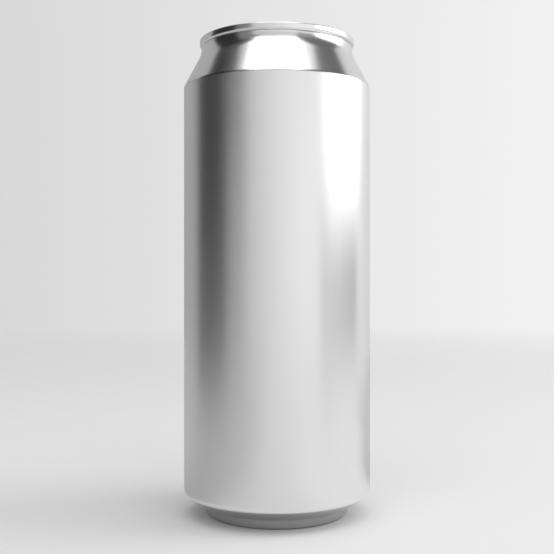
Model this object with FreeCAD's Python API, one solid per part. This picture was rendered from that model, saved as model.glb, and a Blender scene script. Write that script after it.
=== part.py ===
"""A sealed half-litre drinks can, standing upright: drawn body, seamed end and stay-on tab.

Millimetres, +Z up. The origin is the centre of the ring that the can stands on.
The pouring side of the end faces -Y and the tab's finger ring faces +Y.
"""
import FreeCAD
import Part

import math
import os

from FreeCAD import Vector

# ---- driving dimensions -------------------------------------------------
body_diameter = 66.3          # straight wall of the body
overall_height = 168.0        # from the standing ring to the top of the seam

neck_diameter = 53.8          # outside of the neck, just under the seam
neck_straight = 0.3           # upright stretch under the seam
neck_blend = 10.4             # hollow radius between the neck and the shoulder cone
neck_cone_angle = 27.6        # slope of the shoulder cone, from the vertical
shoulder_blend = 2.4          # round radius between the cone and the wall

stand_diameter = 47.0         # middle of the ring that the can stands on
stand_flat = 0.4              # width that touches the floor
stand_round = 1.0             # rounding on both sides of it
leg_lean = 30.0               # slope of the ring's outside, from the vertical
leg_height = 3.65             # from the floor to where it meets the base cone
leg_blend = 3.0               # hollow radius there
base_cone_angle = 32.0        # slope of the base cone, from the horizontal
heel_blend = 2.0              # round radius between the base cone and the wall
dome_depth = 10.4             # height of the dome's crown above the floor
dome_radius = 46.0            # sphere of the dome
dome_blend = 1.6              # hollow radius where the dome meets the ring

seam_height = 2.5             # the rolled double seam
seam_thickness = 1.25
seam_overhang = 0.63          # how far the seam stands out past the neck
seam_crown_round = 0.55       # its upper edges
seam_lip_round = 0.7          # its lower outside edge

sheet = 0.25                  # sheet thickness of the end
chuck_wall_angle = 12.0       # slope of the wall inside the seam, from the vertical
countersink_depth = 6.7       # from the seam's top to the groove's floor
countersink_width = 1.1       # width of that floor
countersink_round = 0.45
panel_depth = 4.3             # from the seam's top to the flat panel
panel_wall_lean = 0.15        # how far the panel's wall leans out at its foot
panel_round = 0.55

recess_depth = 0.45           # pear-shaped recess in the panel
recess_margin = 2.0           # flat rim between the recess and the panel's edge
recess_front_radius = 15.5    # its round at the pouring side
recess_back_radius = 10.0     # and behind the tab's ring
well_depth = 0.9              # finger well under the tab's ring, below the recess
well_radius = 5.6
well_margin = 1.4             # from the well to the back of the recess

tab_nose_reach = 8.2          # from the rivet to the tip over the pouring side
tab_back_gap = 4.6            # from the far end of the ring to the back of the recess
tab_nose_width = 16.0
tab_ring_width = 14.4
tab_nose_round = 6.4
tab_ring_round = 6.2
tab_thickness = 1.15
tab_edge_round = 0.5          # curled edge
tab_rail = 3.0                # metal left behind and beside the finger hole
tab_web = 2.0                 # and between the hole and the island
tab_hole_round = 3.0
island_radius = 3.6           # thin area round the rivet
island_thickness = 0.3

rivet_radius = 1.6
rivet_head_overlap = 0.9      # how far the head reaches over the tab
rivet_head_thickness = 0.4
rivet_head_round = 0.25
rivet_clearance = 0.06        # round the stem

# ---- sizes that follow from them ----------------------------------------
wall_radius = body_diameter / 2
neck_radius = neck_diameter / 2
seam_outer = neck_radius + seam_overhang
seam_inner = seam_outer - seam_thickness
seam_bottom = overall_height - seam_height

stand_radius = stand_diameter / 2
ring_inner = stand_radius - stand_flat / 2 - stand_round

countersink_z = overall_height - countersink_depth
countersink_outer = seam_inner - countersink_depth * math.tan(math.radians(chuck_wall_angle))
countersink_inner = countersink_outer - countersink_width
panel_z = overall_height - panel_depth
panel_radius = countersink_inner - panel_wall_lean
recess_z = panel_z - recess_depth
recess_reach = panel_radius - recess_margin
well_z = recess_z - well_depth
well_centre = recess_reach - well_margin - well_radius

tab_z = recess_z
tab_ring_reach = recess_reach - tab_back_gap
rivet_head_radius = rivet_radius + rivet_head_overlap

UP = Vector(0, 0, 1)


# ---- outlines ------------------------------------------------------------
def unit(a, b):
    """Direction from corner a to corner b."""
    length = math.hypot(b[0] - a[0], b[1] - a[1])
    return ((b[0] - a[0]) / length, (b[1] - a[1]) / length)


def edges_through(corners, place, closed=True):
    """Straight edges through the corners (u, v, rounding), each corner replaced by a tangent arc.

    place turns (u, v) into a point. An open path keeps its two ends sharp.
    """
    count = len(corners)
    starts, ends, crowns = [], [], []
    for i, (u, v, rounding) in enumerate(corners):
        if rounding <= 0 or (not closed and i in (0, count - 1)):
            starts.append((u, v))
            ends.append((u, v))
            crowns.append(None)
            continue
        back = unit((u, v), corners[i - 1])
        ahead = unit((u, v), corners[(i + 1) % count])
        half = math.acos(max(-1.0, min(1.0, back[0] * ahead[0] + back[1] * ahead[1]))) / 2
        reach = rounding / math.tan(half)
        middle = unit((0, 0), (back[0] + ahead[0], back[1] + ahead[1]))
        crown = rounding / math.sin(half) - rounding
        starts.append((u + back[0] * reach, v + back[1] * reach))
        ends.append((u + ahead[0] * reach, v + ahead[1] * reach))
        crowns.append((u + middle[0] * crown, v + middle[1] * crown))
    edges = []
    for i in range(count):
        if crowns[i]:
            edges.append(Part.Arc(place(*starts[i]), place(*crowns[i]), place(*ends[i])).toShape())
        if i < count - 1 or closed:
            following = starts[(i + 1) % count]
            if math.dist(ends[i], following) > 1e-6:
                edges.append(Part.LineSegment(place(*ends[i]), place(*following)).toShape())
    return edges


def in_section(r, z):
    return Vector(r, 0, z)


def turned(edges):
    """The solid of revolution about Z of a closed outline drawn in the XZ plane."""
    return Part.Face(Part.Wire(edges)).revolve(Vector(0, 0, 0), UP, 360)


def plate(edges, height):
    """An upright prism over a closed outline in plan."""
    return Part.Face(Part.Wire(edges)).extrude(UP * height)


def disc(radius, bottom, top, y=0.0):
    return Part.makeCylinder(radius, top - bottom, Vector(0, y, bottom), UP)


def moved_right(corners, distance):
    """The open path's corners moved to its right by distance, with mitred corners."""
    moved = []
    for i, (u, v, rounding) in enumerate(corners):
        before = unit(corners[max(i - 1, 0)], corners[max(i, 1)])
        after = unit(corners[min(i, len(corners) - 2)], corners[min(i + 1, len(corners) - 1)])
        turn = before[0] * after[1] - before[1] * after[0]
        share = distance / (1 + before[0] * after[0] + before[1] * after[1])
        grown = rounding + distance * (1 if turn > 0 else -1)
        moved.append((
            u + (before[1] + after[1]) * share,
            v - (before[0] + after[0]) * share,
            max(grown, 0.0) if rounding else 0,
        ))
    return moved


# ---- the end -------------------------------------------------------------
def end_upper_corners():
    """Upper face of the end, from its middle out to the top of the seam."""
    return [
        (0, panel_z, 0),
        (panel_radius, panel_z, panel_round),
        (countersink_inner, countersink_z, countersink_round),
        (countersink_outer, countersink_z, countersink_round),
        (seam_inner, overall_height, seam_crown_round),
    ]


def end_lower_corners():
    """Underside of the end, from its middle out and up to the level of the seam's lower edge."""
    corners = moved_right(end_upper_corners(), sheet)
    foot, top = corners[-2], corners[-1]
    share = (seam_bottom - foot[1]) / (top[1] - foot[1])
    corners[-1] = (foot[0] + (top[0] - foot[0]) * share, seam_bottom, 0)
    return corners


def recess(grow, bottom, top):
    """The pear-shaped recess: two rounds on the Y axis and their common tangents."""
    front_radius = recess_front_radius + grow
    back_radius = recess_back_radius + grow
    front_y = recess_front_radius - recess_reach
    back_y = recess_reach - recess_back_radius
    lean = math.asin((recess_front_radius - recess_back_radius) / (back_y - front_y))

    def on_front(angle):
        return Vector(front_radius * math.cos(angle), front_y + front_radius * math.sin(angle), bottom)

    def on_back(angle):
        return Vector(back_radius * math.cos(angle), back_y + back_radius * math.sin(angle), bottom)

    left = math.pi - lean
    edges = [
        Part.Arc(on_front(left), on_front(1.5 * math.pi), on_front(lean + 2 * math.pi)).toShape(),
        Part.LineSegment(on_front(lean), on_back(lean)).toShape(),
        Part.Arc(on_back(lean), on_back(math.pi / 2), on_back(left)).toShape(),
        Part.LineSegment(on_back(left), on_front(left)).toShape(),
    ]
    return plate(edges, top - bottom)


def pressings(grow, top):
    """The room that the recess and the finger well take up, larger by grow all round and below."""
    well = disc(well_radius + grow, well_z - grow, top, well_centre)
    return recess(grow, recess_z - grow, top).fuse(well)


def rivet():
    underside = tab_z + island_thickness
    top = underside + rivet_head_thickness
    head = disc(rivet_head_radius, underside, top)
    rim = [edge for edge in head.Edges if abs(edge.CenterOfMass.z - top) < 1e-6]
    stem = disc(rivet_radius, recess_z - sheet / 2, underside)
    return stem.fuse(head.makeFillet(rivet_head_round, rim))


def can_end():
    """The end: one sheet from the panel to the chuck wall, with the seam, pressings and rivet."""
    lower = end_lower_corners()
    corners = end_upper_corners() + [
        (seam_outer, overall_height, seam_crown_round),
        (seam_outer, seam_bottom, seam_lip_round),
    ] + lower[::-1]
    edges = edges_through(corners, in_section, closed=False)
    edges.append(Part.LineSegment(in_section(*lower[0][:2]), in_section(0, panel_z)).toShape())
    pressed = turned(edges).fuse(pressings(sheet, panel_z))
    return pressed.cut(pressings(0, overall_height)).fuse(rivet()).removeSplitter()


# ---- the body ------------------------------------------------------------
def dome_edges():
    """The dome from its crown outwards, and the hollow round that leads into the standing ring."""
    centre_z = dome_depth - dome_radius
    blend_r = ring_inner - dome_blend
    blend_z = centre_z + math.sqrt((dome_radius - dome_blend) ** 2 - blend_r ** 2)
    lean = math.atan2(blend_r, blend_z - centre_z)
    upright = math.pi / 2

    def on_dome(angle):
        return in_section(dome_radius * math.sin(angle), centre_z + dome_radius * math.cos(angle))

    def on_blend(angle):
        return in_section(blend_r + dome_blend * math.sin(angle), blend_z + dome_blend * math.cos(angle))

    return [
        Part.Arc(on_dome(0), on_dome(lean / 2), on_dome(lean)).toShape(),
        Part.Arc(on_blend(lean), on_blend((lean + upright) / 2), on_blend(upright)).toShape(),
    ], blend_z


def outer_corners(inside_top):
    """Outside of the body, from the top of the ring's inner wall to the seam."""
    lean = math.radians(leg_lean)
    base_slope = math.radians(base_cone_angle)
    cone_slope = math.radians(neck_cone_angle)
    ring_outer = stand_radius + stand_flat / 2 + stand_round * math.tan((math.pi / 2 - lean) / 2)
    leg_radius = ring_outer + leg_height * math.tan(lean)
    heel_z = leg_height + (wall_radius - leg_radius) * math.tan(base_slope)
    cone_top = seam_bottom - neck_straight - neck_blend * math.tan(cone_slope / 2)
    shoulder_z = cone_top - (wall_radius - neck_radius) / math.tan(cone_slope)
    return [
        (ring_inner, inside_top, 0),
        (ring_inner, 0, stand_round),
        (ring_outer, 0, stand_round),
        (leg_radius, leg_height, leg_blend),
        (wall_radius, heel_z, heel_blend),
        (wall_radius, shoulder_z, shoulder_blend),
        (neck_radius, cone_top, neck_blend),
        (neck_radius, seam_bottom, 0),
    ]


def can_body():
    """The drawn body with what it holds, filled up to the underside of the end."""
    dome, inside_top = dome_edges()
    under_end = end_lower_corners()[::-1]
    outside = edges_through(outer_corners(inside_top), in_section, closed=False)
    inside = edges_through(under_end, in_section, closed=False)
    rim = Part.LineSegment(in_section(neck_radius, seam_bottom), in_section(*under_end[0][:2]))
    axis = Part.LineSegment(in_section(*under_end[-1][:2]), in_section(0, dome_depth))
    filled = turned(dome + outside + [rim.toShape()] + inside + [axis.toShape()])
    return filled.cut(pressings(sheet, overall_height)).removeSplitter()


# ---- the tab -------------------------------------------------------------
def in_plan(x, y):
    return Vector(x, y, tab_z)


def tab_blank():
    nose = tab_nose_width / 2
    ring = tab_ring_width / 2
    return plate(edges_through([
        (-nose, -tab_nose_reach, tab_nose_round),
        (nose, -tab_nose_reach, tab_nose_round),
        (ring, tab_ring_reach, tab_ring_round),
        (-ring, tab_ring_reach, tab_ring_round),
    ], in_plan), tab_thickness)


def finger_hole():
    back = tab_ring_reach - tab_rail
    front = island_radius + tab_web
    side = tab_ring_width / 2 - tab_rail
    corner = min(tab_hole_round, 0.45 * (back - front), 0.9 * side)
    return plate(edges_through([
        (-side, front, corner),
        (side, front, corner),
        (side, back, corner),
        (-side, back, corner),
    ], in_plan), tab_thickness)


def pull_tab():
    """The stay-on tab: a curled rim, a finger hole and a thin island held by the rivet."""
    tab = tab_blank().cut(finger_hole())
    rims = [edge for face in tab.Faces if abs(face.normalAt(0, 0).z) > 0.99 for edge in face.Edges]
    tab = tab.makeFillet(tab_edge_round, rims)
    tab = tab.cut(disc(island_radius, tab_z + island_thickness, tab_z + tab_thickness))
    return tab.cut(disc(rivet_radius + rivet_clearance, tab_z, tab_z + tab_thickness))


# ---- export --------------------------------------------------------------
def main():
    os.makedirs("parts", exist_ok=True)
    for name, make in (("can_body", can_body), ("can_end", can_end), ("pull_tab", pull_tab)):
        shape = make()
        print(name, len(shape.Solids), "solid, valid", shape.isValid(), "volume %.1f" % shape.Volume)
        shape.exportStep(f"parts/{name}.step")


main()
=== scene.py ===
"""The looks of a shut half-litre drinks can: satin wall, bright neck, seamed end and stay-on tab.

Everything is in metres in the can's own frame: +Z up, the pouring side of the end towards -Y.
"""

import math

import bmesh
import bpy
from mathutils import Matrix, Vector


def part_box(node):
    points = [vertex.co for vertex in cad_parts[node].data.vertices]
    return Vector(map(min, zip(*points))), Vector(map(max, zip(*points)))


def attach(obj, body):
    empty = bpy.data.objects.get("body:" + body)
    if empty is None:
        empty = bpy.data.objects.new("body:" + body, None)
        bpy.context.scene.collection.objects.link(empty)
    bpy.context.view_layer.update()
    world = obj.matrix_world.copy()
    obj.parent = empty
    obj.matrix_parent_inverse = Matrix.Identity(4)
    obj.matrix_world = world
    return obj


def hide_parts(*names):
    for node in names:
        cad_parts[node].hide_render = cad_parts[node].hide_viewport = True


bl_info = {
    "name": "Drinks Can",
    "version": (1, 0, 0),
    "blender": (4, 5, 0),
    "location": "3D View > Sidebar > Can",
    "description": "Builds the finished surfaces of a shut drinks can round its frame",
    "category": "Object",
}

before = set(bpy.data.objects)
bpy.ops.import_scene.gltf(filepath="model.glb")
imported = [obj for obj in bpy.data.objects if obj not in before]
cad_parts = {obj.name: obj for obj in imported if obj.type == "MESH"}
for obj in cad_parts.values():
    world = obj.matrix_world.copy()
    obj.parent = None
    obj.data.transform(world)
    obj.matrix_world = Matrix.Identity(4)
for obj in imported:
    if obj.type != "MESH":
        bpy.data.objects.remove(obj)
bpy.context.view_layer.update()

MM = 0.001
BODY_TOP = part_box("can_body")[1].z
WALL_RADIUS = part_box("can_body")[1].x
END_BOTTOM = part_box("can_end")[0].z
END_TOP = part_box("can_end")[1].z
SEAM_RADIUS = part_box("can_end")[1].x
TAB_LOW, TAB_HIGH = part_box("pull_tab")

SPIN_STEPS = 240               # facets round the can
LOOP_STEPS = 120               # corners of each pressed outline
ARC_STEP = math.radians(4)     # turn from one point of an arc to the next
RIVET_STEP = math.radians(15)  # the same on the small rivet
GUARD = 0.2 * MM               # short stretch beside an arc that keeps the straight flat
LIP = 0.12 * MM                # the same beside a pressed outline
JOIN = 0.001 * MM              # points nearer than this are one


def length(name, default, about):
    return bpy.props.FloatProperty(
        name=name, description=about, default=default, min=0.0, unit="LENGTH", precision=5)


def share(name, default, about):
    return bpy.props.FloatProperty(name=name, description=about, default=default, min=0.0, max=1.0)


def angle(name, degrees, about):
    return bpy.props.FloatProperty(
        name=name, description=about, default=math.radians(degrees), subtype="ANGLE")


def colour(name, default, about):
    return bpy.props.FloatVectorProperty(
        name=name, description=about, default=default, size=3, min=0.0, max=1.0, subtype="COLOR")


# ---- sizes and colours that a user may change --------------------------------------------
class BodySettings(bpy.types.PropertyGroup):
    neck_radius: length("Neck radius", 26.9 * MM, "Outside of the neck, just under the seam")
    neck_straight: length("Neck straight", 0.3 * MM, "Upright stretch under the seam")
    neck_blend: length("Neck blend", 9.6 * MM, "Hollow radius between the neck and the cone")
    cone_angle: angle("Cone angle", 28.0, "Slope of the shoulder cone, from the vertical")
    shoulder_blend: length("Shoulder blend", 1.8 * MM, "Round radius between the cone and the wall")
    heel_blend: length("Heel blend", 2.0 * MM, "Round radius between the wall and the base cone")
    base_angle: angle("Base angle", 31.2, "Slope of the base cone, from the horizontal")
    leg_height: length("Leg height", 3.65 * MM, "From the floor to the foot of the base cone")
    leg_lean: angle("Leg lean", 30.0, "Slope of the ring's outside, from the vertical")
    leg_blend: length("Leg blend", 3.0 * MM, "Hollow radius between the ring and the base cone")
    stand_radius: length("Stand radius", 23.5 * MM, "Middle of the ring that the can stands on")
    stand_flat: length("Stand flat", 0.4 * MM, "Width of the ring that touches the floor")
    stand_round: length("Stand round", 1.0 * MM, "Rounding on both sides of that flat")
    dome_depth: length("Dome depth", 10.4 * MM, "Height of the dome's crown above the floor")
    dome_radius: length("Dome radius", 46.0 * MM, "Sphere of the dome")
    dome_blend: length("Dome blend", 1.6 * MM, "Hollow radius between the dome and the ring")
    metal: colour("Metal", (0.88, 0.88, 0.88), "Bare aluminium")
    wall_roughness: share("Wall roughness", 0.32, "Blur of the varnished wall")
    neck_roughness: share("Neck roughness", 0.20, "Blur of the bright neck")
    line_blur: share("Line blur", 0.05, "How far the drawing lines change the blur")
    mottle_blur: share("Mottle blur", 0.03, "How far the blur wanders over the surface")
    line_shade: share("Line shade", 0.023, "How much darker the drawing lines are")
    edge_drop: length("Edge drop", 0.25 * MM, "From the shoulder's corner to the varnish's edge")
    edge_width: length("Edge width", 0.5 * MM, "Width of the thin line along the varnish's edge")
    edge_shade: share("Edge shade", 0.3, "How much darker that line is")
    # painted shade: the metal below the heel is darkened to stand for the shade it sits in
    painted_foot_shade: share("Foot shade", 0.43, "How much darker the metal is below the heel")
    # painted shadow: a dark ring where the can stands on the floor
    painted_contact_shadow: share("Contact shade", 0.34, "How much darker it is where it stands")
    # painted shade: a dark band on the neck just under the seam
    painted_crevice_shade: share("Crevice shade", 0.4, "How much darker it is just under the seam")


class EndSettings(bpy.types.PropertyGroup):
    seam_thickness: length("Seam thickness", 1.25 * MM, "Across the rolled double seam")
    crown_round: length("Crown round", 0.42 * MM, "Upper edges of the seam")
    lip_round: length("Lip round", 1.0 * MM, "Lower outside edge of the seam")
    sheet: length("Sheet", 0.25 * MM, "Thickness of the pressed sheet")
    chuck_angle: angle("Chuck wall angle", 12.0, "Slope of the wall inside the seam")
    groove_depth: length("Groove depth", 6.7 * MM, "From the seam's top to the groove's floor")
    groove_width: length("Groove width", 1.1 * MM, "Width of the groove's floor")
    groove_round: length("Groove round", 0.45 * MM, "Edges of the groove's floor")
    panel_depth: length("Panel depth", 4.3 * MM, "From the seam's top to the flat panel")
    panel_lean: length("Panel lean", 0.15 * MM, "How far the panel's wall leans out at its foot")
    panel_round: length("Panel round", 0.55 * MM, "Edge of the panel")
    recess_depth: length("Recess depth", 0.45 * MM, "Depth of the pear-shaped recess")
    recess_slope: length("Recess slope", 0.7 * MM, "Width of the recess's sloping edge")
    recess_margin: length("Recess margin", 2.0 * MM, "From the recess to the panel's edge")
    recess_front: length("Recess front", 15.5 * MM, "Round of the recess at the pouring side")
    recess_back: length("Recess back", 10.0 * MM, "Round of the recess behind the tab")
    well_depth: length("Well depth", 0.9 * MM, "Depth of the finger well in the recess")
    well_slope: length("Well slope", 2.6 * MM, "Width of the well's sloping edge")
    well_radius: length("Well radius", 5.6 * MM, "Radius of the finger well")
    well_margin: length("Well margin", 1.4 * MM, "From the well to the back of the recess")
    under_growth: length("Under growth", 0.1 * MM, "How much wider pressings are underneath")
    mouth_spread: length("Mouth spread", 3.6 * MM, "From the middle to the mouth's front rounds")
    mouth_front: length("Mouth front", 11.5 * MM, "From the rivet to the mouth's front rounds")
    mouth_round: length("Mouth round", 7.6 * MM, "Radius of the mouth's front rounds")
    mouth_back: length("Mouth back", 9.0 * MM, "From the rivet to the mouth's back round")
    mouth_back_round: length("Mouth back round", 5.6 * MM, "Radius of the mouth's back round")
    score_width: length("Score width", 0.22 * MM, "Width of both score lines")
    score_depth: length("Score depth", 0.14 * MM, "Depth of the score round the mouth")
    inner_score_gap: length("Inner score gap", 0.9 * MM, "From the score to the one inside it")
    inner_score_depth: length("Inner score depth", 0.09 * MM, "Depth of the score inside it")
    bead_gap: length("Bead gap", 2.2 * MM, "From the score to the raised bead inside it")
    bead_width: length("Bead width", 1.3 * MM, "Width of that bead")
    bead_height: length("Bead height", 0.28 * MM, "Height of that bead")
    stem_radius: length("Stem radius", 1.6 * MM, "Stem of the rivet")
    stem_round: length("Stem round", 0.15 * MM, "Hollow at the foot of the stem")
    rivet_gap: length("Rivet gap", 0.02 * MM, "From the tab to the rivet's head")
    rivet_radius: length("Rivet radius", 2.5 * MM, "Head of the rivet")
    rivet_height: length("Rivet height", 0.4 * MM, "Thickness of the rivet's head")
    rivet_lower_round: length("Rivet lower round", 0.08 * MM, "Lower edge of the head")
    rivet_upper_round: length("Rivet upper round", 0.28 * MM, "Upper edge of the head")
    dimple_radius: length("Dimple radius", 1.3 * MM, "Upper edge of the dimple in the head")
    dimple_floor: length("Dimple floor", 0.9 * MM, "Radius of the dimple's floor")
    dimple_depth: length("Dimple depth", 0.22 * MM, "Depth of the dimple")
    dimple_round: length("Dimple round", 0.3 * MM, "Edges of the dimple")
    metal: colour("Metal", (0.91, 0.91, 0.905), "Rolled aluminium sheet")
    roughness: share("Roughness", 0.20, "Blur of the rolled sheet")


class TabSettings(bpy.types.PropertyGroup):
    nose_width: length("Nose width", 16.0 * MM, "Across the nose")
    ring_width: length("Ring width", 14.4 * MM, "Across the finger ring")
    nose_round: length("Nose round", 6.4 * MM, "Corners of the nose")
    ring_round: length("Ring round", 6.2 * MM, "Corners of the finger ring")
    rail: length("Rail", 3.0 * MM, "Metal round the finger hole")
    web: length("Web", 1.85 * MM, "Metal between the finger hole and the island")
    web_level: share("Web level", 0.6, "Height of the web in the tab's thickness")
    curl_flat: length("Curl flat", 0.2 * MM, "Flat crest of the curled edges")
    curl_slope: length("Curl slope", 0.4 * MM, "Width of the slope from that crest to the web")
    hole_round: length("Hole round", 3.0 * MM, "Corners of the finger hole")
    stem_hole: length("Stem hole", 1.7 * MM, "Radius of the hole for the rivet's stem")
    island_radius: length("Island radius", 3.75 * MM, "Thin area round the rivet")
    island_slope: length("Island slope", 0.45 * MM, "Width of that area's sloping edge")
    island_thickness: length("Island thickness", 0.3 * MM, "Thickness of that area")
    slot_radius: length("Slot radius", 2.85 * MM, "Middle of the slot round the rivet")
    slot_width: length("Slot width", 0.24 * MM, "Width of that slot")
    slot_turn: angle("Slot turn", 125.0, "How far the slot runs from the back to each side")
    bead_gap: length("Bead gap", 5.45 * MM, "From the rivet to the bead across the nose")
    bead_length: length("Bead length", 5.2 * MM, "Straight part of that bead")
    bead_width: length("Bead width", 1.6 * MM, "Width of that bead at its foot")
    bead_slope: length("Bead slope", 0.5 * MM, "Width of its sloping edge")
    bead_rise: share("Bead rise", 0.25, "Height of that bead in the tab's thickness")
    metal: colour("Metal", (0.92, 0.92, 0.915), "Rolled aluminium sheet of the tab")
    roughness: share("Roughness", 0.18, "Blur of the tab")


class StageSettings(bpy.types.PropertyGroup):
    lens: bpy.props.FloatProperty(
        name="Lens", description="Focal length of the camera, in millimetres",
        default=59.45, min=1.0)
    sensor: bpy.props.FloatProperty(
        name="Sensor", description="Width of the camera's sensor, in millimetres",
        default=36.0, min=1.0)
    distance: length("Distance", 328.0 * MM, "From the camera to the can's axis")
    height: length("Height", 83.95 * MM, "Height of the camera above the floor")
    floor: colour("Floor", (0.72, 0.72, 0.72), "Matt floor")
    floor_radius: length("Floor radius", 1.3, "Outer edge of the floor")
    fade_start: length("Fade start", 0.25, "Radius where the floor starts to fade")
    fade_end: length("Fade end", 1.2, "Radius where the floor has faded away")
    opening: length("Opening", 20 * MM, "Radius of the floor's opening under the dome")
    room: share("Room", 0.79, "Level of the surroundings straight ahead")
    room_slope: share("Room slope", 0.35, "How much brighter they grow to the right")
    room_darkest: share("Room darkest", 0.6, "Lowest level of the surroundings")
    room_brightest: share("Room brightest", 0.96, "Highest level of the surroundings")


# ---- outlines and meshes ----------------------------------------------------------------
def unit(a, b):
    """The direction from a to b."""
    span = math.dist(a[:2], b[:2])
    return (b[0] - a[0]) / span, (b[1] - a[1]) / span


def arc(centre, radius, start, turn, count):
    """Points round the centre, from the angle start, in count steps over the angle turn."""
    return [(centre[0] + radius * math.cos(start + turn * i / count),
             centre[1] + radius * math.sin(start + turn * i / count)) for i in range(count + 1)]


def rounded(corners, step=ARC_STEP):
    """The open path (r, z) through the corners (r, z, rounding), each turned into a tangent arc."""
    path = [corners[0][:2]]
    for before, (r, z, rounding), after in zip(corners, corners[1:], corners[2:]):
        if rounding <= 0:
            path.append((r, z))
            continue
        back, ahead = unit((r, z), before), unit((r, z), after)
        half = math.acos(back[0] * ahead[0] + back[1] * ahead[1]) / 2
        reach = rounding / math.tan(half)
        to_centre = unit((0, 0), (back[0] + ahead[0], back[1] + ahead[1]))
        centre = [p + d * rounding / math.sin(half) for p, d in zip((r, z), to_centre)]
        start = math.atan2(z + back[1] * reach - centre[1], r + back[0] * reach - centre[0])
        finish = math.atan2(z + ahead[1] * reach - centre[1], r + ahead[0] * reach - centre[0])
        turn = (finish - start + math.pi) % (2 * math.pi) - math.pi
        path += arc(centre, rounding, start, turn, max(3, round(abs(turn) / step)))
    path.append(corners[-1][:2])
    return guarded(path)


def guarded(path):
    """The path without doubled points, and with a point near both ends of each long straight."""
    clean = [path[0]]
    for point in path[1:]:
        if math.dist(point, clean[-1]) > JOIN:
            clean.append(point)
    full = [clean[0]]
    for a, b in zip(clean, clean[1:]):
        if math.dist(a, b) > 4 * GUARD:
            du, dv = unit(a, b)
            full.append((a[0] + du * GUARD, a[1] + dv * GUARD))
            full.append((b[0] - du * GUARD, b[1] - dv * GUARD))
        full.append(b)
    return full


def lathe(bm, path):
    """Turns the open path (r, z) round the Z axis."""
    verts = [bm.verts.new((r, 0, z)) for r, z in path]
    edges = [bm.edges.new(pair) for pair in zip(verts, verts[1:])]
    bmesh.ops.spin(
        bm, geom=verts + edges, cent=(0, 0, 0), axis=(0, 0, 1), dvec=(0, 0, 0),
        angle=2 * math.pi, steps=SPIN_STEPS, use_merge=True)
    bmesh.ops.remove_doubles(bm, verts=bm.verts, dist=JOIN)


def round_these(circles):
    """The shape of a band stretched round the circles (x, y, radius), grown by some amount."""
    def reach(out, grow):
        x, y, radius = max(circles, key=lambda c: c[0] * out.x + c[1] * out.y + c[2])
        return x + (radius + grow) * out.x, y + (radius + grow) * out.y
    return reach


ROUND = round_these([(0, 0, 0)])   # a circle round the axis, whose radius is what it is grown by


def press(bm, shape, rows):
    """A shape pressed into a sheet, a loop for each row (grow, z): returns its first and last."""
    verts = bmesh.ops.create_circle(bm, segments=LOOP_STEPS, radius=1.0)["verts"]
    edges = first = list({edge for vert in verts for edge in vert.link_edges})
    outward = {vert: vert.co.normalized() for vert in verts}
    for i, (grow, z) in enumerate(rows):
        if i:
            made = bmesh.ops.extrude_edge_only(bm, edges=edges)["geom"]
            edges = [item for item in made if isinstance(item, bmesh.types.BMEdge)
                     and not any(vert in outward for vert in item.verts)]
            outward = {vert: outward[edge.other_vert(vert)]
                       for item in edges for vert in item.verts
                       for edge in vert.link_edges if edge.other_vert(vert) in outward}
        for vert, out in outward.items():
            vert.co = (*shape(out, grow), z)
    return first, edges


def cap(bm, *loops):
    """A flat face inside the first loop, with the other loops as its holes."""
    bmesh.ops.triangle_fill(
        bm, use_beauty=True, use_dissolve=False, edges=[edge for loop in loops for edge in loop],
        normal=(0, 0, 1))


def step_rows(start, z, width, rise, count=8):
    """Rows of a smooth step that goes inwards by width and rises by rise."""
    rows = []
    for i in range(count + 1):
        t = i / count
        share_risen = t - math.sin(2 * math.pi * t) / (2 * math.pi)
        rows.append((start - width * t, z + rise * share_risen))
    return rows


def pressed_rows(start, z, width, rise, count=8):
    """The same step between two flat lips."""
    return [(start + LIP, z), (start + LIP / 2, z),
            *step_rows(start, z, width, rise, count), (start - width - LIP, z + rise)]


def ridge_rows(start, z, width, rise, count):
    """Rows of a smooth ridge, or of a groove where rise is negative."""
    return [(start - width * i / count, z + rise * math.sin(math.pi * i / count) ** 2)
            for i in range(count + 1)]


def placed(bm, name, material):
    """The mesh as an object in the scene, with its material."""
    mesh = bpy.data.meshes.new(name)
    bm.to_mesh(mesh)
    bm.free()
    mesh.materials.append(material)
    item = bpy.data.objects.new(name, mesh)
    bpy.context.scene.collection.objects.link(item)
    return item


def shown(bm, name, material, node):
    """A finished piece: a smooth mesh that rides on the can and stands for the node."""
    bmesh.ops.recalc_face_normals(bm, faces=bm.faces)
    for face in bm.faces:
        face.smooth = True
    piece = placed(bm, name, material)
    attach(piece, "root")
    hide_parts(node)


# ---- finishes -----------------------------------------------------------------------------
DARK_METAL = 0.3          # share of the metal's colour that full shade leaves
ROLL_SHADE = 0.97         # share that the rolling lines leave
ROLL_BLUR = 0.08          # how far the rolling lines change the blur
ROLL_DEPTH = 0.002 * MM   # depth of the rolling lines
DRAW_DEPTH = 0.0015 * MM  # depth of the drawing lines
FINISH_EDGE = 0.1 * MM    # half width of the change from satin to bright metal
HEEL_EDGE = 0.6 * MM      # height over which the painted shade below the heel comes in
CONTACT_SHADOW_LOW, CONTACT_SHADOW_HIGH = 0.3 * MM, 0.7 * MM    # heights between which the painted shadow at the standing ring ends
CREVICE_SHADE_LOW, CREVICE_SHADE_HIGH = 0.4 * MM, 0.05 * MM   # depths below the seam between which its painted shade comes in


class Value:
    """A socket in an expression: each operator adds its Math node."""

    def __init__(self, finish, socket):
        self.finish = finish
        self.socket = socket

    def math(self, operation, *others):
        sockets = dict(enumerate((self,) + others))
        node = self.finish.node("ShaderNodeMath", {"operation": operation}, sockets)
        return Value(self.finish, node.outputs["Value"])

    def __add__(self, other):
        return self.math("ADD", other)

    def __radd__(self, other):
        return self + other

    def __sub__(self, other):
        return self.math("SUBTRACT", other)

    def __rsub__(self, other):
        return self * -1.0 + other

    def __mul__(self, other):
        return self.math("MULTIPLY", other)

    def __rmul__(self, other):
        return self * other

    def clamped(self, low=0.0, high=1.0):
        return self.math("MINIMUM", high).math("MAXIMUM", low)

    def rising(self, low, high):
        """0 below low and 1 above high."""
        return ((self - low) * (1.0 / (high - low))).clamped()


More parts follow.
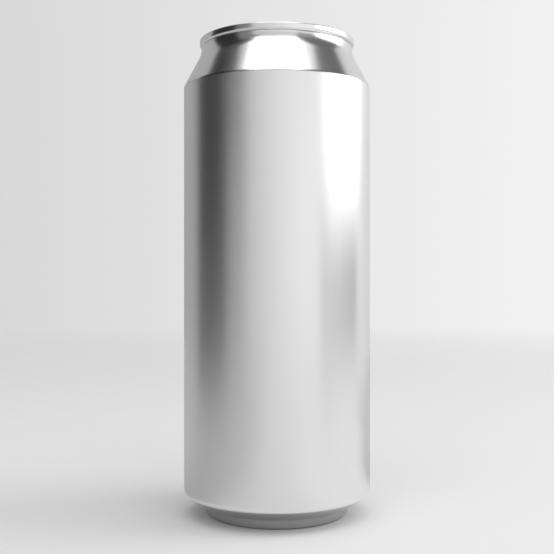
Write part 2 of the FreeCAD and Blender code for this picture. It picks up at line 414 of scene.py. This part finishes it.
class Nodes:
    """A cleared node tree that nodes and values are added to."""

    def __init__(self, tree):
        self.tree = tree
        tree.nodes.clear()

    def node(self, kind, settings=None, sockets=None):
        """A node of that type: its settings first, then the values or links of its sockets."""
        made = self.tree.nodes.new(kind)
        for name, value in (settings or {}).items():
            setattr(made, name, value)
        for name, value in (sockets or {}).items():
            self.feed(made.inputs[name], value)
        return made

    def feed(self, socket, value):
        """Links the socket to a Value or to another socket, or sets its number or colour."""
        if isinstance(value, Value):
            value = value.socket
        if isinstance(value, bpy.types.NodeSocket):
            self.tree.links.new(value, socket)
        else:
            socket.default_value = value

    def axis(self, place, name):
        """One coordinate of a place."""
        split = self.node("ShaderNodeSeparateXYZ", sockets={"Vector": place})
        return Value(self, split.outputs[name])


class Finish(Nodes):
    """A material's nodes, ending in one Principled shader."""

    def __init__(self, name):
        self.material = bpy.data.materials.new(name)
        self.material.use_nodes = True
        super().__init__(self.material.node_tree)
        self.shader = self.node("ShaderNodeBsdfPrincipled")
        self.node("ShaderNodeOutputMaterial", sockets={"Surface": self.shader.outputs["BSDF"]})
        self.place = self.node("ShaderNodeTexCoord").outputs["Object"]

    def set(self, **sockets):
        """Values or links for the Principled shader, named with _ for a space."""
        for name, value in sockets.items():
            self.feed(self.shader.inputs[name.replace("_", " ")], value)

    def grain(self, stretch, scale, detail):
        """Noise from 0 to 1 on object coordinates, stretched along the axes."""
        mapping = self.node("ShaderNodeMapping", sockets={"Vector": self.place, "Scale": stretch})
        noise = self.node("ShaderNodeTexNoise", sockets={
            "Vector": mapping.outputs["Vector"], "Scale": scale, "Detail": detail})
        return Value(self, noise.outputs["Fac"])

    def blend(self, factor, low, high):
        """Mixes two colours, which the Mix node has at its inputs 6 and 7 and its output 2."""
        mix = self.node("ShaderNodeMix", {"data_type": "RGBA"}, {
            "Factor": factor, 6: (*low, 1.0), 7: (*high, 1.0)})
        return mix.outputs[2]

    def bump(self, height, depth):
        made = self.node("ShaderNodeBump", sockets={
            "Height": height, "Distance": depth, "Strength": 1.0})
        return made.outputs["Normal"]


def shade(tone, factor):
    return tuple(channel * factor for channel in tone)


def body_metal(s, shoulder_z, heel_z):
    """Drawn aluminium: varnished satin up to the shoulder and a bright neck, with painted shade
    below the heel, at the ring it stands on and just under the seam.
    """
    finish = Finish("body_metal")
    z = finish.axis(finish.place, "Z")
    edge_z = shoulder_z - s.edge_drop
    draw_lines = finish.grain(stretch=(1.0, 1.0, 0.012), scale=900.0, detail=3.0)
    mottle = finish.grain(stretch=(1.0, 1.0, 1.0), scale=45.0, detail=2.0)

    bright = z.rising(edge_z - FINISH_EDGE, edge_z + FINISH_EDGE)
    edge_line = (1.0 - (z - edge_z).math("ABSOLUTE") * (2.0 / s.edge_width)).clamped()
    # painted shade: darker below the heel, at the ring it stands on and just under the seam
    foot = 1.0 - z.rising(heel_z - HEEL_EDGE, heel_z)
    contact = 1.0 - z.rising(CONTACT_SHADOW_LOW, CONTACT_SHADOW_HIGH)
    crevice = z.rising(BODY_TOP - CREVICE_SHADE_LOW, BODY_TOP - CREVICE_SHADE_HIGH)
    tone = (1.0 - foot * s.painted_foot_shade - contact * s.painted_contact_shadow - crevice * s.painted_crevice_shade
            - (1.0 - draw_lines) * s.line_shade - edge_line * s.edge_shade)
    roughness = (s.wall_roughness - bright * (s.wall_roughness - s.neck_roughness)
                 + (draw_lines - 0.5) * s.line_blur + (mottle - 0.5) * s.mottle_blur)
    finish.set(
        Base_Color=finish.blend(tone, shade(s.metal, DARK_METAL), s.metal),
        Metallic=1.0,
        Roughness=roughness,
        Normal=finish.bump(draw_lines, DRAW_DEPTH))
    return finish.material


def sheet_metal(name, s):
    """Rolled aluminium sheet: fine straight grain along X."""
    finish = Finish(name)
    roll_lines = finish.grain(stretch=(0.03, 1.0, 1.0), scale=2500.0, detail=3.0)
    finish.set(
        Base_Color=finish.blend(roll_lines, shade(s.metal, ROLL_SHADE), s.metal),
        Metallic=1.0,
        Roughness=s.roughness + (roll_lines - 0.5) * ROLL_BLUR,
        Normal=finish.bump(roll_lines, ROLL_DEPTH))
    return finish.material


# ---- the pieces ------------------------------------------------------------------------------
def chuck_radii(end):
    """Radii of the wall inside the seam, at its top and at its foot."""
    seam_inner = SEAM_RADIUS - end.seam_thickness
    return seam_inner, seam_inner - end.groove_depth * math.tan(end.chuck_angle)


class CAN_OT_body(bpy.types.Operator):
    """Builds the body: dome, standing ring, base cone, wall, shoulder cone and neck"""
    bl_idname = "drinks_can.body"
    bl_label = "Body"

    def execute(self, context):
        s = context.scene.can_body
        half_flat = s.stand_flat / 2
        ring_inner = s.stand_radius - half_flat - s.stand_round
        lean_reach = s.stand_round * math.tan((math.pi / 2 - s.leg_lean) / 2)
        ring_outer = s.stand_radius + half_flat + lean_reach
        leg_radius = ring_outer + s.leg_height * math.tan(s.leg_lean)
        heel_z = s.leg_height + (WALL_RADIUS - leg_radius) * math.tan(s.base_angle)
        cone_top = BODY_TOP - s.neck_straight - s.neck_blend * math.tan(s.cone_angle / 2)
        shoulder_z = cone_top - (WALL_RADIUS - s.neck_radius) / math.tan(s.cone_angle)
        seam_inner, chuck_foot = chuck_radii(context.scene.can_end)
        under_end = END_BOTTOM - 2 * GUARD

        dome = self.dome(s, ring_inner)
        outside = rounded([
            (*dome[-1], 0),
            (ring_inner, 0, s.stand_round),
            (ring_outer, 0, s.stand_round),
            (leg_radius, s.leg_height, s.leg_blend),
            (WALL_RADIUS, heel_z, s.heel_blend),
            (WALL_RADIUS, shoulder_z, s.shoulder_blend),
            (s.neck_radius, cone_top, s.neck_blend),
            (s.neck_radius, BODY_TOP, 0),
            (seam_inner, BODY_TOP, 0),
            (chuck_foot + 2 * GUARD, under_end, 0),
            (0, under_end, 0),
        ])
        bm = bmesh.new()
        lathe(bm, guarded(dome[:-1] + outside))
        shown(bm, "body_shell", body_metal(s, shoulder_z, heel_z), "can_body")
        return {"FINISHED"}

    def dome(self, s, ring_inner):
        """The path from the dome's crown to the upright inside of the ring."""
        centre_z = s.dome_depth - s.dome_radius
        blend_r = ring_inner - s.dome_blend
        blend_z = centre_z + math.sqrt((s.dome_radius - s.dome_blend) ** 2 - blend_r ** 2)
        lean = math.atan2(blend_r, blend_z - centre_z)
        upright = math.pi / 2
        crown = arc((0, centre_z), s.dome_radius, start=upright, turn=-lean, count=24)
        edge = arc(
            (blend_r, blend_z), s.dome_blend, start=upright - lean, turn=lean - upright, count=14)
        return crown + edge[1:]


class CAN_OT_end(bpy.types.Operator):
    """Builds the end: seam, chuck wall, groove, panel with its pressings and score, and rivet"""
    bl_idname = "drinks_can.end"
    bl_label = "End"

    def execute(self, context):
        s = context.scene.can_end
        panel_z = END_TOP - s.panel_depth
        recess_z = panel_z - s.recess_depth
        panel_radius = chuck_radii(s)[1] - s.groove_width - s.panel_lean
        recess_reach = panel_radius - s.recess_margin

        bm = bmesh.new()
        top_rim, low_rim = self.ring(bm, s, panel_radius, panel_z)
        upper_loops = self.recess(bm, s, recess_reach, top_rim, panel_z, 0)
        mouth_rim = self.mouth(bm, s, recess_z)
        rivet_rim = self.rivet(bm, s, recess_z, context.scene.can_tab.island_thickness)
        cap(bm, *upper_loops, mouth_rim, rivet_rim)
        lower_loops = self.recess(bm, s, recess_reach, low_rim, panel_z - s.sheet, s.under_growth)
        cap(bm, *lower_loops)
        shown(bm, "end_sheet", sheet_metal("end_metal", s), "can_end")
        return {"FINISHED"}

    def ring(self, bm, s, panel_radius, panel_z):
        """Seam, chuck wall, groove and the panel's edge. Returns the rims of its flat middle."""
        seam_inner, groove_outer = chuck_radii(s)
        groove_inner = groove_outer - s.groove_width
        groove_z = END_TOP - s.groove_depth
        flat_radius = panel_radius - 2 * s.panel_round
        lean = math.tan(s.chuck_angle)
        neck_contact = seam_inner + (BODY_TOP - END_TOP) * lean + s.sheet / math.cos(s.chuck_angle)
        under_groove = groove_z - s.sheet
        under_panel = panel_z - s.sheet
        chuck_foot = neck_contact - (BODY_TOP - under_groove) * lean
        lathe(bm, rounded([
            (flat_radius, panel_z, 0),
            (panel_radius, panel_z, s.panel_round),
            (groove_inner, groove_z, s.groove_round),
            (groove_outer, groove_z, s.groove_round),
            (seam_inner, END_TOP, s.crown_round),
            (SEAM_RADIUS, END_TOP, s.crown_round),
            (SEAM_RADIUS, BODY_TOP, s.lip_round),
            (neck_contact, BODY_TOP, 0),
            (chuck_foot, under_groove, s.groove_round + s.sheet),
            (groove_inner - s.sheet, under_groove, s.groove_round + s.sheet),
            (panel_radius - s.sheet, under_panel, s.panel_round - s.sheet),
            (flat_radius, under_panel, 0),
        ]))
        rims = [edge for edge in bm.edges if edge.is_boundary]
        middle_z = (panel_z + under_panel) / 2
        return ([edge for edge in rims if edge.verts[0].co.z > middle_z],
                [edge for edge in rims if edge.verts[0].co.z < middle_z])

    def recess(self, bm, s, reach, rim, z, growth):
        """The recess and its finger well in one side of the panel, both widened by growth.

        Returns the loops that bound the recess's floor.
        """
        recess = round_these([
            (0, s.recess_front - reach, s.recess_front), (0, reach - s.recess_back, s.recess_back)])
        well = round_these([(0, reach - s.well_margin - s.well_radius, s.well_radius)])
        floor_z = z - s.recess_depth
        recess_rim, recess_floor = press(
            bm, recess, pressed_rows(growth, z, s.recess_slope, -s.recess_depth))
        cap(bm, rim, recess_rim)
        well_rim, well_floor = press(
            bm, well, pressed_rows(growth, floor_z, s.well_slope, -s.well_depth, count=12))
        cap(bm, well_floor)
        return recess_floor, well_rim

    def mouth(self, bm, s, z):
        """The pouring panel: two score lines and a raised bead. Returns the loop round it."""
        shape = round_these([
            (-s.mouth_spread, -s.mouth_front, s.mouth_round),
            (s.mouth_spread, -s.mouth_front, s.mouth_round),
            (0, -s.mouth_back, s.mouth_back_round)])
        rim, floor = press(bm, shape, [
            (LIP, z),
            *ridge_rows(s.score_width / 2, z, s.score_width, -s.score_depth, count=4),
            *ridge_rows(-s.inner_score_gap, z, s.score_width, -s.inner_score_depth, count=4),
            (-(s.inner_score_gap + s.bead_gap) / 2, z),
            *ridge_rows(-s.bead_gap, z, s.bead_width, s.bead_height, count=8),
            (-s.bead_gap - s.bead_width - LIP, z),
        ])
        cap(bm, floor)
        return rim

    def rivet(self, bm, s, z, island_thickness):
        """Stem, head and dimple of the rivet. Returns the loop round its foot."""
        head_z = z + island_thickness + s.rivet_gap
        top_z = head_z + s.rivet_height
        dimple_z = top_z - s.dimple_depth
        rim, top = press(bm, ROUND, rounded([
            (s.rivet_radius + LIP, z, 0),
            (s.stem_radius, z, s.stem_round),
            (s.stem_radius, head_z, 0),
            (s.rivet_radius, head_z, s.rivet_lower_round),
            (s.rivet_radius, top_z, s.rivet_upper_round),
            (s.dimple_radius, top_z, s.dimple_round),
            (s.dimple_floor, dimple_z, s.dimple_round),
            (s.dimple_floor / 2, dimple_z, 0),
        ], step=RIVET_STEP))
        cap(bm, top)
        return rim


class CAN_OT_tab(bpy.types.Operator):
    """Builds the stay-on tab: curled rim, web, finger hole, and the island that the rivet holds"""
    bl_idname = "drinks_can.tab"
    bl_label = "Tab"

    def execute(self, context):
        s = context.scene.can_tab
        low_z, high_z = TAB_LOW.z, TAB_HIGH.z
        web_z = low_z + s.web_level * (high_z - low_z)
        thin_z = low_z + s.island_thickness
        nose_x = s.nose_width / 2 - s.nose_round
        ring_x = s.ring_width / 2 - s.ring_round
        hole_x = s.ring_width / 2 - s.rail - s.hole_round
        hole_front = s.island_radius + s.web + s.hole_round
        hole_back = TAB_HIGH.y - s.rail - s.hole_round
        outline = round_these(
            [(x, TAB_LOW.y + s.nose_round, s.nose_round) for x in (-nose_x, nose_x)]
            + [(x, TAB_HIGH.y - s.ring_round, s.ring_round) for x in (-ring_x, ring_x)])
        hole = round_these(
            [(x, y, s.hole_round) for x in (-hole_x, hole_x) for y in (hole_front, hole_back)])
        bead = round_these([(x, -s.bead_gap, 0) for x in (-s.bead_length / 2, s.bead_length / 2)])

        bm = bmesh.new()
        low_rim, web_rim = press(bm, outline, self.curl_rows(s, web_z, side=1))
        hole_low, hole_web = press(bm, hole, self.curl_rows(s, web_z, side=-1))
        island_rim, island_floor = press(
            bm, ROUND,
            pressed_rows(s.island_radius, web_z, s.island_slope, thin_z - web_z, count=6))
        stem_top, stem_low = press(
            bm, ROUND, [(s.stem_hole + LIP, thin_z), (s.stem_hole, thin_z), (s.stem_hole, low_z)])
        slot_top, slot_low = press(
            bm, self.slot(s), [(s.slot_width / 2, thin_z), (s.slot_width / 2, low_z)])
        bead_height = s.bead_rise * (high_z - low_z)
        bead_rim, bead_top = press(
            bm, bead, pressed_rows(s.bead_width / 2, web_z, s.bead_slope, bead_height, count=6))
        cap(bm, bead_top)
        cap(bm, web_rim, hole_web, island_rim, bead_rim)
        cap(bm, island_floor, stem_top, slot_top)
        cap(bm, low_rim, hole_low, stem_low, slot_low)
        shown(bm, "pull_tab_curled", sheet_metal("tab_metal", s), "pull_tab")
        return {"FINISHED"}

    def curl_rows(self, s, web_z, side):
        """Rows over a curled edge down to the web; side is 1 on the outline, -1 round the hole."""
        low_z, high_z = TAB_LOW.z, TAB_HIGH.z
        curl = (high_z - low_z) / 2
        rows = [
            (-curl - LIP, low_z),
            *arc((-curl, low_z + curl), curl, start=-math.pi / 2, turn=math.pi, count=8),
            *step_rows(-curl - s.curl_flat, high_z, s.curl_slope, web_z - high_z, count=6),
            (-curl - s.curl_flat - s.curl_slope - LIP, web_z),
        ]
        return [(side * grow, z) for grow, z in rows]

    def slot(self, s):
        """The shape of the slot that leaves the island hinged on the side of the nose."""
        square_ends = 0.4    # below 1, so that the slot keeps its width up to its ends

        def reach(out, grow):
            turn = math.pi / 2 + s.slot_turn * out.x
            across = math.copysign(abs(out.y) ** square_ends, out.y)
            distance = s.slot_radius + grow * across
            return distance * math.cos(turn), distance * math.sin(turn)
        return reach


# ---- the stage, in metres ----------------------------------------------------------------------
# Softboxes: name, place, direction of the light, width, height, radiance, seen in reflections
SOFTBOXES = (
    ("overhead_softbox", (-0.0225, -0.513, 1.0106), (0, 0.53, -0.85), 1.015, 0.66, 1.33, True),
    ("right_softbox", (1.0, -0.045, 0.478), (-1, 0, 0), 0.99, 0.54, 1.6, True),
    ("floor_fill", (0.6, 0, 0.7), (-0.25, 0, -0.7), 0.4, 0.4, 2.8, False),
)
# Flags are matt cloths that only the metal mirrors; two of those on the floor are painted shade of
# the floor. On the floor: name, x, y, width, depth, tone
FLOOR_FLAGS = (
    # painted shade: the floor's darkening beside the left flag, seen only in the metal
    ("left_floor_painted_shade", -0.345, 0, 0.60, 1.0, 0.48),
    ("back_right_floor_flag", 0.20, 0.35, 0.32, 0.54, 0.46),
    ("near_right_floor_flag", 0.08, 0.055, 0.08, 0.05, 0.42),
    ("front_right_floor_flag", 0.23, -0.325, 0.50, 0.39, 0.62),
    # painted shade: the floor's contact shadow in front of the can, seen only in the metal
    ("near_front_floor_painted_shade", -0.005, -0.085, 0.08, 0.09, 0.62),
)
FLOOR_FLAG_Z = 0.002
# Standing: name, place, what it faces (the height is its own), width, height, tone
STANDING_FLAGS = (
    ("left_flag", (-0.4, -0.05, 0.37), (0, -0.05), 0.36, 0.50, 0.015),
    ("left_low_flag", (-0.4, -0.05, 0.06), (0, -0.05), 0.36, 0.12, 0.06),
    ("front_left_flag", (-0.40, -0.32, 0.10), (0, 0), 0.27, 0.20, 0.34),
    ("front_left_upper_flag", (-0.40, -0.32, 0.38), (0, 0), 0.27, 0.36, 0.17),
    ("front_left_top_flag", (-0.4245, -0.286, 0.68), (0, 0), 0.27, 0.24, 0.06),
    ("front_upper_flag", (0, -0.62, 0.49), (0, 0), 0.62, 0.20, 0.6),
    ("front_right_upper_flag", (0.5245, -0.5527, 0.58), (0, 0), 0.39, 0.28, 0.3),
    ("back_left_flag", (-0.43, 0.614, 0.45), (0, 0), 0.95, 0.9, 0.39),
    ("back_right_flag", (0.48, 0.575, 0.45), (0, 0), 0.6, 0.9, 0.8),
    ("right_low_flag", (0.98, -0.17, 0.09), (0, -0.17), 1.14, 0.18, 0.01),
)
# Hanging: name, place, width, depth, tone
HANGING_FLAGS = (
    ("left_ceiling", (-1.13, -0.4, 1.01), 1.2, 1.8, 0.08),
    ("right_ceiling", (1.13, -0.375, 1.01), 1.2, 1.65, 0.12),
    ("back_ceiling", (0, 0.6, 1.02), 2.6, 0.8, 0.5),
)
LEVEL_LEAN = 0.001    # keeps the sides of a level flag along the axes


def facing(direction):
    """The turn that points a light or a flag that way."""
    return Vector(direction).to_track_quat("-Z", "Y")


def softbox(name, place, direction, width, height, radiance, mirrored):
    """A flat softbox that the camera doesn't see."""
    data = bpy.data.lights.new(name, "AREA")
    data.shape = "RECTANGLE"
    data.size = width
    data.size_y = height
    data.energy = radiance * math.pi * width * height
    light = bpy.data.objects.new(name, data)
    light.location = place
    light.rotation_euler = facing(direction).to_euler()
    light.visible_camera = False
    light.visible_glossy = mirrored
    bpy.context.scene.collection.objects.link(light)


def flag(name, place, direction, width, height, tone):
    """A flat matt cloth that only reflections see, also used for painted shade on the floor."""
    finish = Finish(name)
    finish.set(Base_Color=(tone, tone, tone, 1.0), Roughness=1.0, Specular_IOR_Level=0.0)
    bm = bmesh.new()
    bmesh.ops.create_grid(bm, x_segments=1, y_segments=1, size=0.5)
    bmesh.ops.scale(bm, vec=(width, height, 1.0), verts=bm.verts)
    bmesh.ops.rotate(
        bm, cent=(0, 0, 0), matrix=facing(direction).to_matrix(), verts=bm.verts)
    bmesh.ops.translate(bm, vec=place, verts=bm.verts)
    cloth = placed(bm, name, finish.material)
    cloth.visible_camera = False
    cloth.visible_shadow = False
    cloth.visible_diffuse = False


class CAN_OT_stage(bpy.types.Operator):
    """Builds the floor, the soft studio light and the camera"""
    bl_idname = "drinks_can.stage"
    bl_label = "Stage"

    def execute(self, context):
        s = context.scene.can_stage
        self.floor(s)
        self.room(context.scene, s)
        for row in SOFTBOXES:
            softbox(*row)
        self.flags()
        self.camera(context.scene, s)
        context.scene.view_settings.view_transform = "Standard"
        return {"FINISHED"}

    def floor(self, s):
        """A matt floor that fades into the surroundings and can be looked through from below."""
        finish = Finish("floor_paint")
        span = finish.node("ShaderNodeVectorMath", {"operation": "LENGTH"}, {0: finish.place})
        away = Value(finish, span.outputs["Value"])
        below = Value(finish, finish.node("ShaderNodeNewGeometry").outputs["Backfacing"])
        finish.set(
            Base_Color=(*s.floor, 1.0), Roughness=0.9, Specular_IOR_Level=0.1,
            Alpha=(1.0 - away.rising(s.fade_start, s.fade_end)) * (1.0 - below))
        bm = bmesh.new()
        press(bm, ROUND, [(s.floor_radius, 0), (s.opening, 0)])
        placed(bm, "floor", finish.material)

    def room(self, scene, s):
        """Pale surroundings, a little darker to the left and brighter to the right."""
        scene.world = bpy.data.worlds.new("pale_room")
        scene.world.use_nodes = True
        room = Nodes(scene.world.node_tree)
        across = room.axis(room.node("ShaderNodeTexCoord").outputs["Generated"], "X")
        level = (across * s.room_slope + s.room).clamped(s.room_darkest, s.room_brightest)
        background = room.node("ShaderNodeBackground", sockets={
            "Color": (1.0, 1.0, 1.0, 1.0), "Strength": level})
        room.node("ShaderNodeOutputWorld", sockets={"Surface": background.outputs["Background"]})

    def flags(self):
        for name, x, y, width, depth, tone in FLOOR_FLAGS:
            flag(name, (x, y, FLOOR_FLAG_Z), (0, LEVEL_LEAN, 1), width, depth, tone)
        for name, (x, y, z), (to_x, to_y), width, height, tone in STANDING_FLAGS:
            flag(name, (x, y, z), (to_x - x, to_y - y, 0), width, height, tone)
        for name, place, width, depth, tone in HANGING_FLAGS:
            flag(name, place, (0, LEVEL_LEAN, -1), width, depth, tone)

    def camera(self, scene, s):
        data = bpy.data.cameras.new("camera")
        data.sensor_width = s.sensor
        data.lens = s.lens
        camera = bpy.data.objects.new("camera", data)
        camera.location = (0, -s.distance, s.height)
        camera.rotation_euler = (math.pi / 2, 0, 0)
        scene.collection.objects.link(camera)
        scene.camera = camera


# ---- the add-on --------------------------------------------------------------------------------
GROUPS = {"can_body": BodySettings, "can_end": EndSettings,
          "can_tab": TabSettings, "can_stage": StageSettings}
OPERATORS = {"can_body": CAN_OT_body, "can_end": CAN_OT_end,
             "can_tab": CAN_OT_tab, "can_stage": CAN_OT_stage}


class CAN_PT_panel(bpy.types.Panel):
    """The steps and sizes of the can"""
    bl_idname = "CAN_PT_panel"
    bl_label = "Drinks can"
    bl_space_type = "VIEW_3D"
    bl_region_type = "UI"
    bl_category = "Can"

    def draw(self, context):
        for name, operator in OPERATORS.items():
            box = self.layout.box()
            box.operator(operator.bl_idname)
            settings = getattr(context.scene, name)
            for prop in settings.bl_rna.properties:
                if prop.identifier not in ("rna_type", "name"):
                    box.prop(settings, prop.identifier)


CLASSES = (*GROUPS.values(), *OPERATORS.values(), CAN_PT_panel)


def register():
    for cls in CLASSES:
        bpy.utils.register_class(cls)
    for name, group in GROUPS.items():
        setattr(bpy.types.Scene, name, bpy.props.PointerProperty(type=group))


def unregister():
    for name in GROUPS:
        delattr(bpy.types.Scene, name)
    for cls in reversed(CLASSES):
        bpy.utils.unregister_class(cls)


def main():
    register()
    bpy.ops.drinks_can.body()
    bpy.ops.drinks_can.end()
    bpy.ops.drinks_can.tab()
    bpy.ops.drinks_can.stage()


if __name__ == "__main__":
    main()
